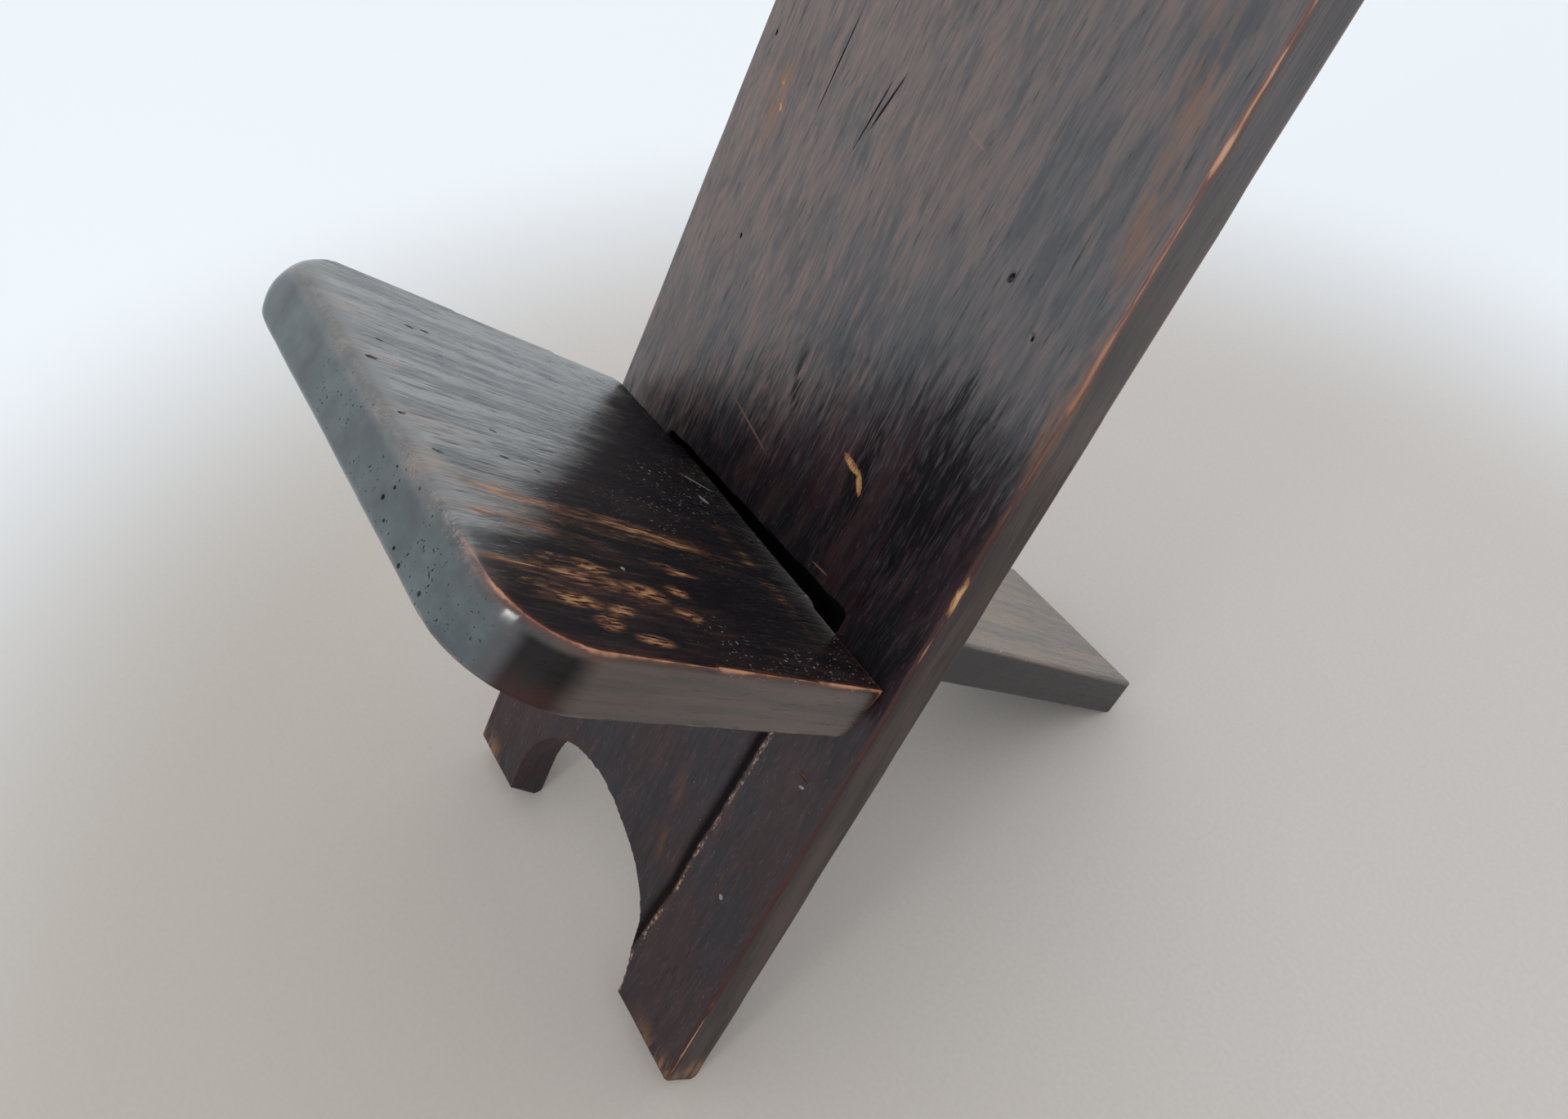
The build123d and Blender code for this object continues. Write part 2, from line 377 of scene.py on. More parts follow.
class Wood:
    """The wood of one plank, with places in mm: x across, y along the grain, z out of its face."""

    def __init__(self, name, turn, where):
        self.material = bpy.data.materials.new(name)
        self.material.use_nodes = True
        self.material.node_tree.nodes.clear()
        start = Field(self.material.node_tree)
        flat = start.node(
            "Mapping",
            {
                "Vector": start.node("TexCoord", {}, out="Object"),
                "Location": where,
                "Rotation": (turn, 0, 0),
                "Scale": (0.001, 0.001, 0.001),
            },
            vector_type="TEXTURE",
        )
        self.flat = flat
        self.x, self.y, self.z = [flat.node("SeparateXYZ", {0: flat}, out=axis) for axis in "XYZ"]
        drift = (flat.grain(50, 170, 1) - 0.5) * 16
        offset = flat.node("CombineXYZ", {"X": drift, "Z": drift})
        self.along = flat.node("VectorMath", {0: flat, 1: offset}, operation="ADD")
        self.ragged = self.along.grain(1.3, 9, 2, detail=4, roughness=0.6)
        self.arris = self.attribute("arris")

    def attribute(self, name):
        return self.flat.node("Attribute", {}, out="Fac", attribute_name=name)

    def spot(self, x, y, width, length, turn, soft):
        """A worn or torn spot at a place: 1 inside, 0 outside, ragged at its rim."""
        c, s = math.cos(math.radians(turn)), math.sin(math.radians(turn))
        across = (self.x - x) * (2 * c / width) + (self.y - y) * (2 * s / width)
        along = (self.y - y) * (2 * c / length) - (self.x - x) * (2 * s / length)
        reach = (across ** 2 + along ** 2) ** 0.5 + (self.ragged - 0.5) * 1.6
        return reach.ramp(1 + soft, 1 - soft)

    def spots(self, marks, soft=0.2, depth=6):
        """Several spots as one, on the plank's face and so many mm down its sides."""
        every = self.spot(*marks[0], soft)
        for mark in marks[1:]:
            every = every.most(self.spot(*mark, soft))
        return every * self.z.ramp(-depth - 1, -depth)

    def holes(self, marks):
        """Round pits in an end of the plank, each with x, z and width."""
        nearest = 1
        for x, z, width in marks:
            across = (self.x - x) * (2 / width)
            down = (self.z - z) * (2 / width)
            nearest = ((across ** 2 + down ** 2) * 0.5).least(nearest)
        return nearest.ramp(0.7, 0.3)

    def finish(self, colour, roughness, height, polish, raw):
        """Closes the material: relief in mm, polish as its refraction index, raw 1 where it is matt."""
        bump = height.node("Bump", {"Strength": 1, "Distance": 0.001, "Height": height})
        polished = colour.node(
            "BsdfPrincipled",
            {"Base Color": colour, "Roughness": roughness, "IOR": polish, "Normal": bump},
        )
        matt = colour.node("BsdfDiffuse", {"Color": colour, "Normal": bump})
        surface = raw.node("MixShader", {0: raw, 1: polished, 2: matt})
        surface.node("OutputMaterial", {"Surface": surface})
        return self.material


# The stain, from black to the tones that show where it is rubbed through.
SOOT = (0.004, 0.0035, 0.004)
STAIN = (0.008, 0.007, 0.009)
COAL = (0.022, 0.021, 0.024)
SMOKE = (0.030, 0.027, 0.031)
MIDNIGHT = (0.034, 0.033, 0.042)
UMBER = (0.040, 0.026, 0.026)
PLUM = (0.027, 0.013, 0.016)
MAROON = (0.050, 0.026, 0.024)
ASH = (0.062, 0.054, 0.064)
HEATHER = (0.110, 0.085, 0.085)
SLATE = (0.066, 0.066, 0.071)
DUSK = (0.124, 0.096, 0.088)
ROSE = (0.250, 0.145, 0.115)
SIDE_BLACK = (0.024, 0.018, 0.018)
SIDE_BROWN = (0.062, 0.043, 0.037)
# The wood itself, from where it is only just bare to where it is freshly torn, and dust.
BLOOD = (0.048, 0.014, 0.012)
RUST = (0.120, 0.042, 0.024)
CINDER = (0.095, 0.038, 0.024)
EMBER = (0.200, 0.092, 0.045)
SCRATCHED = (0.20, 0.11, 0.09)
COPPER = (0.270, 0.110, 0.055)
AMBER = (0.400, 0.170, 0.075)
TAN = (0.490, 0.265, 0.160)
HONEY = (0.27, 0.135, 0.060)
TORN_ROOT = (0.075, 0.034, 0.026)
TORN_PALE = (0.300, 0.205, 0.190)
TORN_GOLD = (0.400, 0.240, 0.110)
CHIP_RIM = (0.270, 0.105, 0.040)
CHIP_HEART = (0.500, 0.290, 0.120)
DUST = (0.420, 0.400, 0.370)
BACK_POLISH = 1.5

# Marks on the back plank's face, each with x, y, width, length and turn from the grain, in mm and degrees.
BACK_DARK_STREAKS = [
    (90, 453, 7, 30, -11),
    (108, 450, 5, 28, 0),
    (60, 395, 16, 60, 10),
    (-5, 406, 8, 34, 19),
    (100, 380, 14, 70, 0),
    (104, 412, 40, 60, 0),
]
BACK_CRACKS = [
    (-31, 541, 1.4, 34, -14),
    (-36.5, 533, 1.1, 42, -9),
    (-74, 545, 1.1, 60, -2),
]
BACK_SCRATCHES = [
    (-24.7, 365.5, 1.3, 40, 77),
    (65.3, 338, 1.2, 13, -86),
    (30, 550, 1.4, 14, 77),
]
BACK_CHIPS = [
    (52.5, 393.3, 4.2, 15, 78),
    (62.0, 388.8, 4.0, 12, 36),
    (-108.6, 522.4, 2.4, 5.0, 40),
    (-102.5, 510.7, 2.4, 4.0, 40),
    (144.5, 384.0, 6.0, 21, 2),
]
BACK_BEADS = [
    (149, 40, 10, 56, 0),
    (145, 368, 10, 46, 0),
]
BACK_HOLES = [
    (82.9, 512.1, 3.0, 5.0, -20),
    (-92.2, 442.9, 1.8, 3.2, 0),
    (-128.0, 540.0, 1.8, 3.0, 0),
    (108.0, 497.0, 1.6, 2.4, 0),
]
BACK_DENTS = [
    (121.8, 244.0, 4.0, 13, -85),
    (-60.0, 600.0, 5.0, 24, 4),
    (30.0, 640.0, 6.0, 30, -3),
]
BACK_DUST = [
    (115, 136, 3.0, 3.0, 0),
    (124, 238, 1.6, 4.0, -60),
    (101, 262, 1.4, 4.0, -30),
]
BACK_GLOWS = [
    (115, 612, 16, 50, 12),
    (126, 566, 12, 50, 8),
    (48, 152, 9, 24, 6),
    (54, 111, 6, 56, 10),
    (138, 486, 8, 60, 4),
    (-108, 515, 18, 44, 10),
]


def back_stain(wood):
    """Black and plum low down, rubbed through to slate grey and dusky brown above a slanting line."""
    shadow_line = wood.x.least(90) * 0.65 + 395
    wood.above = wood.y - shadow_line + (wood.clouds - 0.5) * 60 + (wood.fine - 0.5) * 130
    warmth = wood.bands * 0.35 + wood.clouds * 0.35 + wood.mottle * 0.3
    warmth = warmth + wood.above.ramp(0, 150) * 0.10 - wood.x * 0.0006
    upper = warmth.ramp(0.42, 0.68).shade(SLATE, DUSK)
    rosy = wood.fine.ramp(0.44, 0.66) * (0.24 + 0.36 * wood.x.ramp(80, -60))
    upper = (rosy * wood.mottle.ramp(0.34, 0.56)).shade(upper, ROSE)
    upper = (wood.mottle.ramp(0.48, 0.36) * 0.30).shade(upper, SMOKE)
    upper = (wood.fine.ramp(0.50, 0.38) * 0.28).shade(upper, COAL)

    lower = (wood.bands * 0.5 + wood.clouds * 0.6).ramp(0.47, 0.67).shade(STAIN, PLUM)
    legs = wood.y.ramp(300, 230) * 0.45
    lower = legs.shade(lower, wood.clouds.ramp(0.40, 0.60).shade(MIDNIGHT, UMBER))
    lower = (wood.mottle.ramp(0.50, 0.64) * 0.5).shade(lower, MAROON)
    lower = (wood.fine.ramp(0.50, 0.64) * 0.25).shade(lower, ASH)
    lower = (wood.ragged.ramp(0.60, 0.68) * 0.35).shade(lower, HEATHER)

    colour = wood.above.ramp(-40, 40).shade(lower, upper)
    wood.pores = wood.fine.ramp(0.40, 0.34)
    colour = (wood.pores * 0.6).shade(colour, SOOT)
    side = wood.z.ramp(-1.5, -4) * wood.x.ramp(128, 134)
    side_tone = (wood.bands * 0.7 + wood.fine * 0.3).ramp(0.35, 0.65).shade(SIDE_BLACK, SIDE_BROWN)
    return (side * 0.9).shade(colour, side_tone)


def back_marks(wood, colour):
    """Dark streaks, reddish glows, cracks, scratches and the rubbed tips of the feet."""
    dark = wood.spots(BACK_DARK_STREAKS, soft=0.4) * wood.fine.ramp(0.60, 0.45)
    colour = dark.shade(colour, SOOT)
    glow = wood.y.ramp(200, 300).shade(CINDER, EMBER)
    colour = (wood.spots(BACK_GLOWS, soft=0.8) * wood.mottle.ramp(0.38, 0.58) * 0.6).shade(colour, glow)
    colour = wood.spots(BACK_CRACKS).shade(colour, SOOT)
    colour = (wood.spots(BACK_SCRATCHES) * 0.8).shade(colour, SCRATCHED)
    foot_tip = wood.y.ramp(20, 0) * (wood.x ** 2).ramp(9000, 19000) * wood.mottle.ramp(0.40, 0.56)
    return (foot_tip * 0.7).shade(colour, HONEY)


def back_ridge(wood, colour):
    """The black shade beside the ridge, and its torn lip, golden about 100 mm above the foot."""
    beside = wood.attribute("beside ridge")
    low_face = wood.y.ramp(300, 285) * wood.z.ramp(-9, -7)
    wood.under_ridge = beside.ramp(0.5, 3) * beside.ramp(17, 6) * low_face
    colour = (wood.under_ridge * 0.8).shade(colour, SOOT)
    from_ridge = (beside ** 2) ** 0.5
    torn = (from_ridge + (wood.ragged - 0.5) * 7).ramp(1.8, 0.8) * low_face
    wood.torn = torn * wood.flat.grain(5, 16, 8, detail=3).ramp(0.42, 0.52)
    golden = (((wood.y - 100) * 0.025) ** 2).ramp(1.4, 0.4)
    flakes = wood.flat.grain(1.4, 3, 12).ramp(0.48, 0.60)
    return wood.torn.shade(colour, flakes.shade(TORN_ROOT, golden.shade(TORN_PALE, TORN_GOLD)))


def back_wear(wood, colour):
    """Arrises rubbed red and bare, most of all high up on the right, then chips, worm holes and dust."""
    patchy = wood.along.grain(3, 22, 7, detail=3)
    right = wood.x.ramp(60, 120)
    high = wood.y.ramp(400, 500)
    rim = (wood.arris + (wood.streaks - 0.5) * 0.5).ramp(0.20, 0.58)
    colour = (rim * (0.25 + 0.55 * right)).shade(colour, high.shade(BLOOD, RUST))
    beads = wood.spots(BACK_BEADS, soft=0.5, depth=3)
    wear = (wood.arris + (patchy - 0.5) * 0.4).ramp(0.60, 0.76)
    wood.wear = wear * right * (high + beads * (1 - high) + 0.06)
    bare = patchy.ramp(0.40, 0.56).shade(AMBER, TAN)
    colour = wood.wear.shade(colour, wood.y.ramp(480, 580).shade(COPPER, bare))
    colour = (wood.wear * beads * (1 - high)).shade(colour, TAN)
    chip = wood.ragged.ramp(0.40, 0.60).shade(CHIP_RIM, CHIP_HEART)
    colour = wood.spots(BACK_CHIPS, depth=3).shade(colour, chip)
    colour = wood.spots(BACK_HOLES, soft=0.3).shade(colour, SOOT)
    specks = wood.flat.grain(1.1, 1.8, 11, detail=1).ramp(0.74, 0.80) * wood.y.ramp(420, 250)
    colour = (specks * wood.mottle.ramp(0.48, 0.60) * 0.4).shade(colour, DUST)
    return (wood.spots(BACK_DUST) * 0.45).shade(colour, DUST)


def back_wood(turn, where):
    """The back plank's finish: satin where it is handled, duller low down, with painted black shade inside
    the mortise.
    """
    wood = Wood("back_wood", turn, where)
    wood.bands = wood.along.grain(9, 80, 3, detail=3)
    wood.streaks = wood.along.grain(2.4, 34, 4, detail=3, roughness=0.6)
    wood.hair = wood.along.grain(0.9, 13, 5)
    wood.clouds = wood.flat.grain(45, 80, 6, detail=3)
    wood.mottle = wood.along.grain(7, 42, 9, detail=5, roughness=0.65)
    wood.fine = wood.streaks * 0.5 + wood.hair * 0.5
    colour = back_stain(wood)
    colour = back_marks(wood, colour)
    colour = back_ridge(wood, colour)
    colour = back_wear(wood, colour)

    # Painted shade: the walls of the mortise are painted black and made matt, for the shade inside the
    # slot.
    inside = wood.x.ramp(95, 93) * wood.x.ramp(-88, -84) * wood.y.ramp(280, 290) * wood.y.ramp(345, 335)
    inside = inside * wood.z.ramp(-1, -3) * wood.z.ramp(-29.5, -28)
    roughness = 0.34 + (wood.streaks - 0.5) * 0.3 + (wood.clouds - 0.5) * 0.15 + wood.wear * 0.15
    height = wood.streaks * 0.20 + wood.hair * 0.14 - wood.pores * 0.08
    height = height + (wood.ragged - 0.5) * (0.03 + 0.5 * wood.torn)
    raw = wood.above.ramp(30, -30) * 0.45 + wood.under_ridge * 0.5 + inside
    return wood.finish(inside.shade(colour, SOOT), roughness, height, BACK_POLISH, raw)


def chip_out(piece, marks, depth):
    """Cuts a shallow dimple out of a flat face at each mark: x, y, width, length in mm, and turn."""
    dimples = []
    for x, y, width, length, turn in marks:
        bpy.ops.mesh.primitive_ico_sphere_add(subdivisions=2, radius=1)
        dimple = bpy.context.object
        dimple.location = (x / 1000, y / 1000, 0)
        dimple.rotation_euler = (0, 0, math.radians(turn))
        dimple.scale = (width / 2000, length / 2000, depth)
        dimples.append(dimple)
    bpy.ops.object.select_all(action="DESELECT")
    for dimple in dimples:
        dimple.select_set(True)
    bpy.ops.object.join()
    bpy.ops.object.transform_apply(location=True, rotation=True, scale=True)
    carve(piece, bpy.context.object)


board = new_board()
carve(board, arch_cutter())
carve(board, mortise_cutter())
heel = BACK_THICKNESS / math.cos(LEAN) - FOOT_HEIGHT * math.tan(LEAN)
foot_bevel = Vector((0, -FOOT_HEIGHT, FOOT_SOLE - heel))
saw(board, (0, 0, 0), Matrix.Rotation(-BACK_TURN, 3, "X") @ foot_bevel)
finish_with(board, "REMESH", mode="VOXEL", voxel_size=0.0016)
crown_top(board)
hollow_out(board)
finish_with(board, "SMOOTH", factor=0.5, iterations=2)
mark_arrises(board, rounds=12)
hand_hewn(board, depth=0.0009, along=0.16, across=0.05)
hand_hewn(board, depth=0.0003, along=0.03, across=0.012)
finish_with(board, "DECIMATE", ratio=0.36)
chip_out(board, BACK_HOLES + BACK_CRACKS, depth=0.0022)
chip_out(board, BACK_CHIPS + BACK_DENTS, depth=0.0012)
back_foot = Vector((0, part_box("back_plank")[0].y, FOOT_HEIGHT))
place(board, BACK_TURN, back_foot)
saw(board, (0, 0, 0), (0, 0, -1))
bpy.ops.object.shade_smooth()
board.data.materials.append(back_wood(BACK_TURN, back_foot))
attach(board, "back_plank")
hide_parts("back_plank")


# ---------------------------------------------------------------------------------- seat plank
# The seat plank is one board too: a seat with soft front corners, two shoulders that rest against the
# back, and a tongue that slopes on through the mortise and stands on the floor behind.
# It is modelled flat in the same way, with y running to the rear from the back plank's face.
SEAT_REACH = 0.221
SEAT_FLARE = 0.003
SEAT_FRONT_WIDTH = 0.284
SEAT_REAR_WIDTH = 0.275
SEAT_THICKNESS = 0.0337
SHOULDER_GAP = 0.0003
SHOULDER_SLANT = 0.0071
SHOULDER_HEEL = 0.011
SHOULDER_CORNER = 0.007
TONGUE_WIDTH = 0.147
TONGUE_OVERLAP = 0.100
TONGUE_ARRIS = 0.002
TAIL_SOLE = 0.0055
TAIL_LEAN = math.radians(26)
# The left front corner's size at the top, halfway down and at the bottom, and the right one's size at
# the top and how much it grows. The bottom is drawn in a little, so that its arris is soft.
LEFT_CORNER = (0.034, 0.017, 0.027)
RIGHT_CORNER = 0.037
RIGHT_CORNER_SWELL = 0.013
BOTTOM_DRAWN_IN = 0.987
# The right front corner's top leans inwards, in a circle about a point, to a depth.
DOME_MIDDLE = (0.105, -0.184)
DOME_DEPTH = 0.010
DOME_CURVE = 0.100


def seat_outline(seat, share):
    """One outline of the seat, at a share of its thickness under its top face."""
    depth = share * SEAT_THICKNESS
    top, halfway, bottom = LEFT_CORNER
    left_corner = top * (1 - share) * (1 - 2 * share) + 4 * halfway * share * (1 - share)
    left_corner += bottom * share * (2 * share - 1)
    right_corner = RIGHT_CORNER + RIGHT_CORNER_SWELL * share
    front = SEAT_REACH + SEAT_FLARE * share
    under_heel = max(0, depth - SEAT_THICKNESS + SHOULDER_HEEL)
    rear = SHOULDER_GAP + SHOULDER_HEEL - math.sqrt(SHOULDER_HEEL ** 2 - under_heel ** 2)

    def here(at):
        return abs(at.z + depth) < 0.0001

    def at_rear(at):
        return here(at) and at.y > -0.1

    bpy.ops.mesh.select_all(action="DESELECT")
    bpy.ops.mesh.primitive_plane_add(size=1, location=(0, -0.5, -depth))
    pick(seat, "verts", here)
    resize(SEAT_FRONT_WIDTH, front - rear)
    move(0, -rear)
    pick(seat, "verts", at_rear)
    resize(SEAT_REAR_WIDTH / SEAT_FRONT_WIDTH, 1)
    pick(seat, "edges", at_rear)
    bpy.ops.mesh.subdivide(number_cuts=1)
    pick(seat, "verts", lambda at: at_rear(at) and abs(at.x) < 0.001)
    move(-TONGUE_WIDTH / 2, 0)
    pick(seat, "verts", lambda at: at_rear(at) and at.x < -0.13)
    move(0, -SHOULDER_SLANT)
    bpy.ops.mesh.bevel(offset=SHOULDER_CORNER, segments=4, affect="VERTICES")
    pick(seat, "verts", lambda at: here(at) and at.y < -0.1 and at.x < 0)
    bpy.ops.mesh.bevel(offset=left_corner, segments=10, affect="VERTICES")
    pick(seat, "verts", lambda at: here(at) and at.y < -0.21 and at.x > 0.1)
    bpy.ops.mesh.bevel(offset=right_corner, segments=10, affect="VERTICES")


def new_seat():
    """The seat alone, bridged from outline to outline and closed at its top and bottom."""
    seat = new_piece("seat_board", bpy.ops.mesh.primitive_plane_add, size=1)
    bpy.ops.mesh.select_all(action="SELECT")
    bpy.ops.mesh.delete(type="VERT")
    for share in (0, 0.25, 0.5, 0.67, 0.77, 0.87, 0.95, 1):
        seat_outline(seat, share)
    pick(seat, "faces", lambda at: True)
    bpy.ops.mesh.delete(type="ONLY_FACE")
    pick(seat, "verts", lambda at: abs(at.z + SEAT_THICKNESS) < 0.0001)
    bpy.ops.transform.resize(
        value=(BOTTOM_DRAWN_IN, BOTTOM_DRAWN_IN, 1),
        center_override=(0, -SEAT_REACH / 2, 0),
    )
    pick(seat, "edges", lambda at: True)
    bpy.ops.mesh.bridge_edge_loops()
    for depth in (0, SEAT_THICKNESS):
        pick(seat, "edges", lambda at: abs(at.z + depth) < 0.0001)
        bpy.ops.mesh.edge_face_add()
    bpy.ops.mesh.select_all(action="SELECT")
    bpy.ops.mesh.normals_make_consistent(inside=False)
    bpy.ops.object.mode_set(mode="OBJECT")
    return seat


def new_tongue(join_height):
    """The tongue and tail, which start inside the seat."""
    tongue = new_piece("tongue", bpy.ops.mesh.primitive_cube_add, size=1)
    reach = join_height / math.sin(SLOPE)
    resize(TONGUE_WIDTH, reach + TONGUE_OVERLAP, SEAT_THICKNESS)
    move(0, (reach - TONGUE_OVERLAP) / 2, -SEAT_THICKNESS / 2)
    pick(tongue, "edges", lambda at: abs(at.x) > 0.07 and abs(at.z + SEAT_THICKNESS / 2) > 0.01)
    bpy.ops.mesh.bevel(offset=TONGUE_ARRIS, segments=3, affect="EDGES")
    bpy.ops.object.mode_set(mode="OBJECT")
    return tongue


def soften_front(piece):
    """Rubs the top arris of the front end round where legs rub it, up to near the right corner."""
    at = places(piece)
    near = 1 - smooth_step(np.hypot(at[:, 1] + SEAT_REACH, at[:, 2]), 0.008, 0.022)
    near *= 1 - smooth_step(at[:, 0], 0.060, 0.100)
    group = piece.vertex_groups.new(name="soft front")
    for level in range(1, 11):
        members = np.flatnonzero(np.round(near * 10) == level)
        group.add(members.tolist(), level / 10, "REPLACE")
    finish_with(piece, "SMOOTH", factor=0.5, iterations=60, vertex_group=group.name)


def dome_corner(piece):
    """Leans the top of the right front corner inwards, on a wide curve that catches the light."""
    at = places(piece)
    outwards = at[:, :2] - np.array(DOME_MIDDLE)
    far = np.hypot(outwards[:, 0], outwards[:, 1])
    near = smooth_step(outwards[:, 0], 0, 0.012) * smooth_step(-outwards[:, 1], 0, 0.012)
    near *= smooth_step(far, 0.020, 0.034)
    lean = np.clip(DOME_DEPTH + at[:, 2], 0, DOME_DEPTH) ** 2 / DOME_CURVE
    at[:, :2] -= outwards / far[:, None] * (near * lean)[:, None]
    put_places(piece, at)


TOBACCO = (0.020, 0.012, 0.012)
CHARCOAL = (0.040, 0.036, 0.036)
PAINTED_REFLECTION_DARK = (0.028, 0.031, 0.031)
PAINTED_REFLECTION_PALE = (0.235, 0.233, 0.224)
BOTTLE_BLACK = (0.010, 0.016, 0.018)
BOTTLE_GREY = (0.036, 0.058, 0.060)
EDGE_BLACK = (0.022, 0.015, 0.014)
EDGE_BROWN = (0.060, 0.035, 0.028)
LIT_TOP_GREY = (0.070, 0.066, 0.059)
LIT_TOP_BROWN = (0.185, 0.125, 0.085)
LEATHER = (0.080, 0.030, 0.015)
STREAK_RED = (0.170, 0.065, 0.028)
STREAK_GOLD = (0.500, 0.250, 0.125)
KNOT_RED = (0.170, 0.058, 0.026)
KNOT_GOLD = (0.520, 0.270, 0.120)
ARRIS_SHEEN_GREY = (0.080, 0.080, 0.077)
ARRIS_SHEEN_WARM = (0.150, 0.130, 0.115)
BARE = (0.330, 0.215, 0.155)
ARRIS_BROWN = (0.080, 0.028, 0.014)
ARRIS_RED = (0.210, 0.055, 0.028)
ARRIS_GOLD = (0.440, 0.190, 0.095)
DARK_REFLECTION_RED = (0.036, 0.012, 0.009)
SEAT_POLISH = 1.8

# Marks on the seat's top, each with x, y, width, length and turn from the grain, in mm and degrees.
SEAT_STREAKS = [
    (43, -192, 8, 72, -6),
    (47, -103, 8, 80, -5),
    (64, -186, 7, 62, -4),
    (95, -178, 9, 62, -4),
    (74, -103, 6, 24, -8),
]
SEAT_KNOTS = [
    (111, -181, 8, 22, 0),
    (121, -170, 9, 14, 20),
    (96, -135, 10, 20, -8),
    (106, -116, 7, 14, -8),
    (128, -150, 6, 18, 0),
    (86, -160, 7, 16, -8),
    (90, -112, 6, 12, -8),
    (112, -158, 6, 14, 10),
]
SEAT_GLOWS = [
    (92, -178, 36, 90, -5),
    (50, -30, 12, 76, -86),
    (50, -106, 18, 96, -5),
    (42, -190, 36, 70, -8),
]
SEAT_BARE = [
    (4, -200, 16, 44, -10),
    (-46, -202, 12, 38, -20),
    (33, -213, 20, 14, 0),
    (-90, -206, 12, 20, 0),
]
SEAT_DARK = [
    (-39, -187, 8, 58, -10),
    (84, -200, 12, 40, -4),
    (108, -206, 22, 30, 0),
    (80, -150, 8, 60, -6),
    (60, -150, 7, 50, -6),
]
SEAT_PITS = [
    (-92, -173, 1.8, 5, -18),
    (-93.6, -164, 1.6, 5, -9),
    (-64, -199, 1.6, 4, -19),
    (-42, -211, 2.2, 6, -1),
    (25.8, -206, 2.2, 5, -15),
    (13.6, -167, 1.8, 5, -11),
    (-8.6, -162.6, 1.6, 4, -21),
    (17, -150.6, 1.6, 4, -14),
    (1.9, -213, 1.8, 4, 7),
]
SEAT_DUST = [
    (-8.2, -23.9, 3.6, 7, -61),
    (65.8, 3, 3, 5, 0),
    (81, -139, 2.6, 2.6, 0),
    (-26.5, -17, 2.0, 19, -27),
]
# Pits in its front end, each with x, z and width in mm.
SEAT_END_PITS = [
    (37.6, -14.6, 1.8),
    (35.1, -21.4, 2.4),
    (49.8, -5.5, 1.6),
    (58.8, -28.1, 1.8),
    (67.0, -30.0, 2.2),
    (85.9, -27.7, 2.2),
    (44.0, -26.3, 1.6),
    (31.0, -9.0, 1.4),
]


def seat_stain(wood):
    """Black, with a painted grey reflection at the left of the top, grey-green on the front end and
    painted light on the tail's top.
    """
    wood.top = wood.z.ramp(-5, -1.5)
    colour = (wood.bands * 0.5 + wood.clouds * 0.6).ramp(0.47, 0.67).shade(STAIN, TOBACCO)
    colour = (wood.fine.ramp(0.55, 0.62) * 0.3).shade(colour, CHARCOAL)
    # Painted reflection: the grey laid over the left of the top, up to a slanting line, is the pale room
    # mirrored in the polish, painted in; wood.left marks where it lies.
    shadow_line = wood.x * 0.86 + wood.y + 124
    left = (shadow_line + (wood.clouds - 0.5) * 60 + (wood.fine - 0.5) * 80).ramp(12, -16)
    wood.left = left * wood.y.ramp(30, 10)
    painted_reflection_grey = (wood.fine * 0.6 + wood.bands * 0.4).ramp(0.42, 0.58).shade(PAINTED_REFLECTION_DARK, PAINTED_REFLECTION_PALE)
    colour = (wood.left * wood.top).shade(colour, painted_reflection_grey)
    wood.end = wood.y.ramp(-212, -218) * wood.z.ramp(-2, -7)
    colour = wood.end.shade(colour, wood.mottle.ramp(0.25, 0.75).shade(BOTTLE_BLACK, BOTTLE_GREY))
    side = wood.z.ramp(-1.5, -4) * wood.x.ramp(126, 132) * wood.y.ramp(10, 0)
    side_tone = (wood.bands * 0.7 + wood.fine * 0.3).ramp(0.35, 0.65).shade(EDGE_BLACK, EDGE_BROWN)
    colour = side.shade(colour, side_tone)
    wood.tail = wood.y.ramp(40, 60)
    colour = wood.tail.shade(colour, STAIN)
    # Painted light: the tail's top is painted a paler grey-brown than its black sides, for the light and
    # reflection on it.
    painted_lit_top = (wood.bands * 0.7 + wood.fine * 0.3).ramp(0.38, 0.62).shade(LIT_TOP_GREY, LIT_TOP_BROWN)
    colour = (wood.tail * wood.z.ramp(-4, -1.5)).shade(colour, painted_lit_top)
    wood.pores = wood.fine.ramp(0.41, 0.35)
    return (wood.pores * 0.75 * (1 - wood.end)).shade(colour, SOOT)


def seat_rubbed(wood, colour):
    """Where sitting rubbed it through: brown halos, amber streaks and knots; then a painted grey sheen
    along the front arris.
    """
    halo = wood.spots(SEAT_GLOWS, soft=0.9) * (wood.bands * 0.5 + wood.streaks * 0.5).ramp(0.46, 0.62)
    colour = (halo * 0.6).shade(colour, LEATHER)
    dark = wood.spots(SEAT_DARK, soft=0.7) * wood.fine.ramp(0.66, 0.50)
    colour = (dark * 0.85).shade(colour, SOOT)
    wood.streak = wood.spots(SEAT_STREAKS, soft=0.8) * wood.fine.ramp(0.44, 0.54)
    colour = wood.streak.shade(colour, wood.fine.ramp(0.52, 0.62).shade(STREAK_RED, STREAK_GOLD))
    knots = wood.spots(SEAT_KNOTS, soft=0.6) * wood.ragged.ramp(0.42, 0.50)
    knots = knots + halo * wood.ragged.ramp(0.54, 0.60) * 0.7
    colour = knots.shade(colour, wood.ragged.ramp(0.46, 0.60).shade(KNOT_RED, KNOT_GOLD))
    # Painted sheen: a smooth grey band along the soft front arris, the painted grey reflection of the top
    # carried over the curve.
    front = (((wood.y + 216) * 0.11) ** 2).ramp(1, 0) * wood.x.ramp(90, 40) * wood.z.ramp(-11, -6)
    colour = (front * 0.75).shade(colour, wood.mottle.ramp(0.30, 0.70).shade(ARRIS_SHEEN_GREY, ARRIS_SHEEN_WARM))
    bare = wood.spots(SEAT_BARE, soft=0.8) * wood.fine.ramp(0.40, 0.56)
    return (bare * 0.5).shade(colour, BARE)


